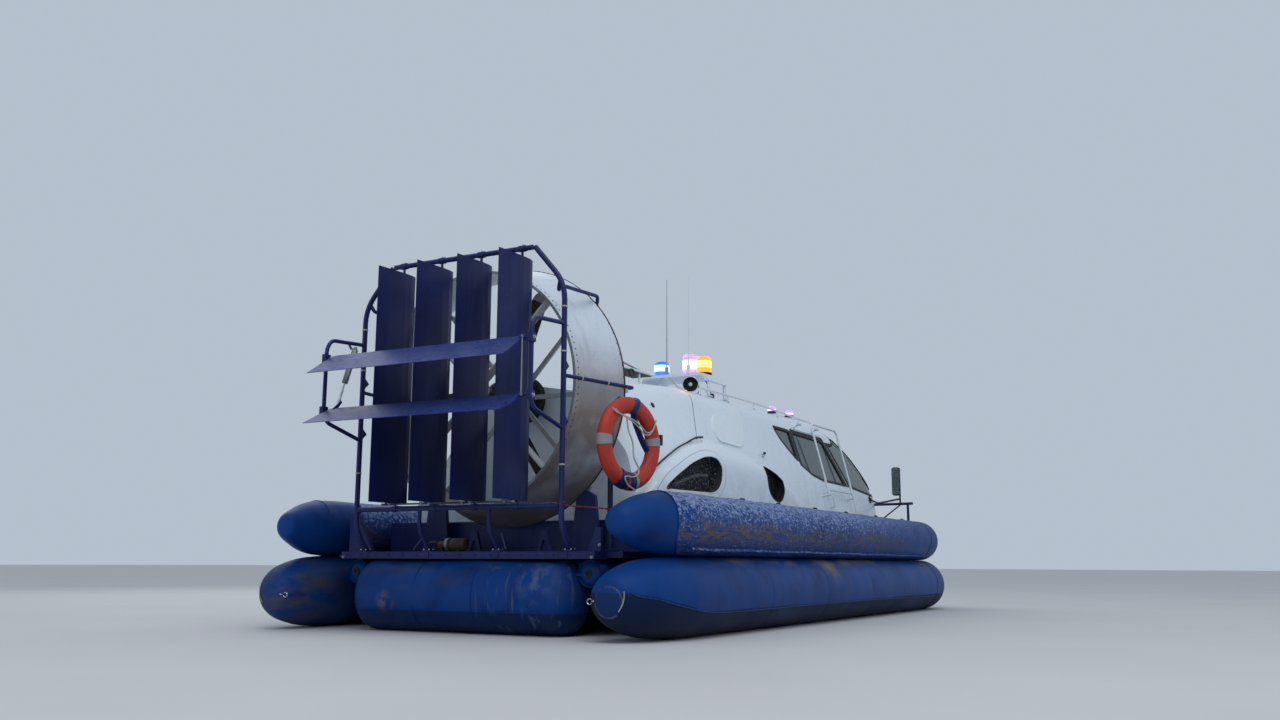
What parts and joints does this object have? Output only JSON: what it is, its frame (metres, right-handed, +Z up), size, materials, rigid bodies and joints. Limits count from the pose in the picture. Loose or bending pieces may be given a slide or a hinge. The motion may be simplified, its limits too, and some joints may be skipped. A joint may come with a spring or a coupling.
{
  "type": "cabin hovercraft",
  "caption": "Light cabin hovercraft on two layers of inflated skirt tubes, with a ducted propeller, upright rudders and level vanes behind a hollow cabin with lifting doors.",
  "frame": {"origin": "on the ground under the middle of the whole craft", "axes": "+X towards the bow, +Y to port, +Z up"},
  "size_m": [9.1757, 4.1146, 3.6],
  "materials": {
    "skirt_fabric": "coated fabric, wet and dusty",
    "navy_paint": "semi gloss",
    "vane_paint": "semi gloss, worn",
    "white_gelcoat": "gloss",
    "white_paint": "gloss",
    "grey_metal": "satin",
    "black_plastic": "matt",
    "chrome": "polished",
    "window_glass": "tinted",
    "lifebuoy_red": "matt",
    "seat_cover": "soft grain",
    "engine_iron": "cast",
    "beacon_blue": "clear lens",
    "beacon_violet": "clear lens",
    "beacon_orange": "clear lens"
  },
  "bodies": {
    "craft": {"low_tube_starboard": "skirt_fabric", "low_tube_port": "skirt_fabric", "low_tube_bow": "skirt_fabric", "up_tube_starboard": "skirt_fabric", "up_tube_port": "skirt_fabric", "up_tube_bow": "skirt_fabric", "stern_tubes": "skirt_fabric", "hull": "navy_paint", "duct": "white_gelcoat", "rear_struts": "grey_metal", "front_struts": "grey_metal", "frame_starboard": "navy_paint", "frame_port": "navy_paint", "frame_top": "navy_paint", "frame_crossbar": "navy_paint", "cabin_side_starboard": "white_gelcoat", "side_glass_starboard": "window_glass", "cabin_side_port": "white_gelcoat", "side_glass_port": "window_glass", "cabin_roof": "white_gelcoat", "windscreen": "window_glass", "cabin_nose": "white_gelcoat", "engine_cowl": "white_gelcoat", "fairing_starboard": "white_gelcoat", "intake_grille_starboard": "black_plastic", "fairing_port": "white_gelcoat", "intake_grille_port": "black_plastic", "seats": "seat_cover", "console": "black_plastic", "engine_block": "engine_iron", "roof_bridge": "white_gelcoat", "beacon_blue": "beacon_blue", "beacon_violet": "beacon_violet", "beacon_orange": "beacon_orange", "aerial_outer": "white_paint", "aerial_inner": "white_paint", "searchlight": "chrome", "roof_rails": "white_paint", "mast_tray": "grey_metal", "mirror_starboard": "black_plastic", "mirror_port": "black_plastic", "bow_rail": "navy_paint", "lifebuoy": "lifebuoy_red", "lifebuoy_bracket": "navy_paint"},
    "propeller": {"propeller": "black_plastic"},
    "rudder_1": {"rudder_1": "navy_paint"},
    "rudder_2": {"rudder_2": "navy_paint"},
    "rudder_3": {"rudder_3": "navy_paint"},
    "rudder_4": {"rudder_4": "navy_paint"},
    "rudder_tie_rod": {"rudder_tie_rod": "grey_metal"},
    "vane_upper": {"vane_upper": "vane_paint"},
    "vane_lower": {"vane_lower": "vane_paint"},
    "vane_link": {"vane_link": "grey_metal"},
    "actuator_cylinder": {"actuator_cylinder": "grey_metal"},
    "actuator_rod": {"actuator_rod": "chrome"},
    "door_starboard": {"door_starboard": "white_gelcoat", "door_glass_starboard": "window_glass"},
    "door_port": {"door_port": "white_gelcoat", "door_glass_port": "window_glass"}
  },
  "joints": [
    {"name": "propeller_spin", "type": "hinge", "parent": "craft", "child": "propeller", "pos_m": [-3.25, 0, 2], "axis": [1, 0, 0], "continuous": true},
    {"name": "rudder_1_turn", "type": "hinge", "parent": "craft", "child": "rudder_1", "pos_m": [-3.84, -0.615, 2], "axis": [0, 0, 1], "range_deg": [-30, 30]},
    {"name": "rudder_2_turn", "type": "hinge", "parent": "craft", "child": "rudder_2", "pos_m": [-3.84, -0.205, 2], "axis": [0, 0, 1], "range_deg": [-30, 30]},
    {"name": "rudder_3_turn", "type": "hinge", "parent": "craft", "child": "rudder_3", "pos_m": [-3.84, 0.205, 2], "axis": [0, 0, 1], "range_deg": [-30, 30]},
    {"name": "rudder_4_turn", "type": "hinge", "parent": "craft", "child": "rudder_4", "pos_m": [-3.84, 0.615, 2], "axis": [0, 0, 1], "range_deg": [-30, 30]},
    {"name": "tie_rod_pin", "type": "hinge", "parent": "rudder_1", "child": "rudder_tie_rod", "pos_m": [-3.95, -0.615, 1.033], "axis": [0, 0, 1], "range_deg": [-30, 30]},
    {"name": "vane_lower_tilt", "type": "hinge", "parent": "craft", "child": "vane_lower", "pos_m": [-4.293, 0, 1.795], "axis": [0, 1, 0], "range_deg": [-5, 50]},
    {"name": "vane_upper_tilt", "type": "hinge", "parent": "craft", "child": "vane_upper", "pos_m": [-4.293, 0, 2.235], "axis": [0, 1, 0], "range_deg": [-5, 50]},
    {"name": "vane_link_pin", "type": "hinge", "parent": "vane_upper", "child": "vane_link", "pos_m": [-4.353, -0.985, 2.235], "axis": [0, 1, 0], "range_deg": [-50, 5]},
    {"name": "actuator_pivot", "type": "hinge", "parent": "craft", "child": "actuator_cylinder", "pos_m": [-4.04, 0.945, 2.36], "axis": [0, 1, 0], "range_deg": [-6, 1]},
    {"name": "actuator_slide", "type": "slide", "parent": "actuator_cylinder", "child": "actuator_rod", "axis": [-0.3363, 0, -0.9417], "range_m": [-0.008, 0.075]},
    {"name": "door_starboard_lift", "type": "hinge", "parent": "craft", "child": "door_starboard", "pos_m": [1.6, -1.02, 2.18], "axis": [-1, 0, 0], "range_deg": [0, 80]},
    {"name": "door_port_lift", "type": "hinge", "parent": "craft", "child": "door_port", "pos_m": [1.6, 1.02, 2.18], "axis": [1, 0, 0], "range_deg": [0, 80]}
  ],
  "couplings": [
    {"joint": "rudder_2_turn", "follows": "rudder_1_turn", "ratio": 1},
    {"joint": "rudder_3_turn", "follows": "rudder_1_turn", "ratio": 1},
    {"joint": "rudder_4_turn", "follows": "rudder_1_turn", "ratio": 1},
    {"joint": "tie_rod_pin", "follows": "rudder_1_turn", "ratio": -1},
    {"joint": "vane_upper_tilt", "follows": "vane_lower_tilt", "ratio": 1},
    {"joint": "vane_link_pin", "follows": "vane_lower_tilt", "ratio": -1},
    {"joint": "actuator_pivot", "follows": "vane_lower_tilt", "ratio": -0.11},
    {"joint": "actuator_slide", "follows": "vane_lower_tilt", "m_per_rad": 0.0851}
  ]
}
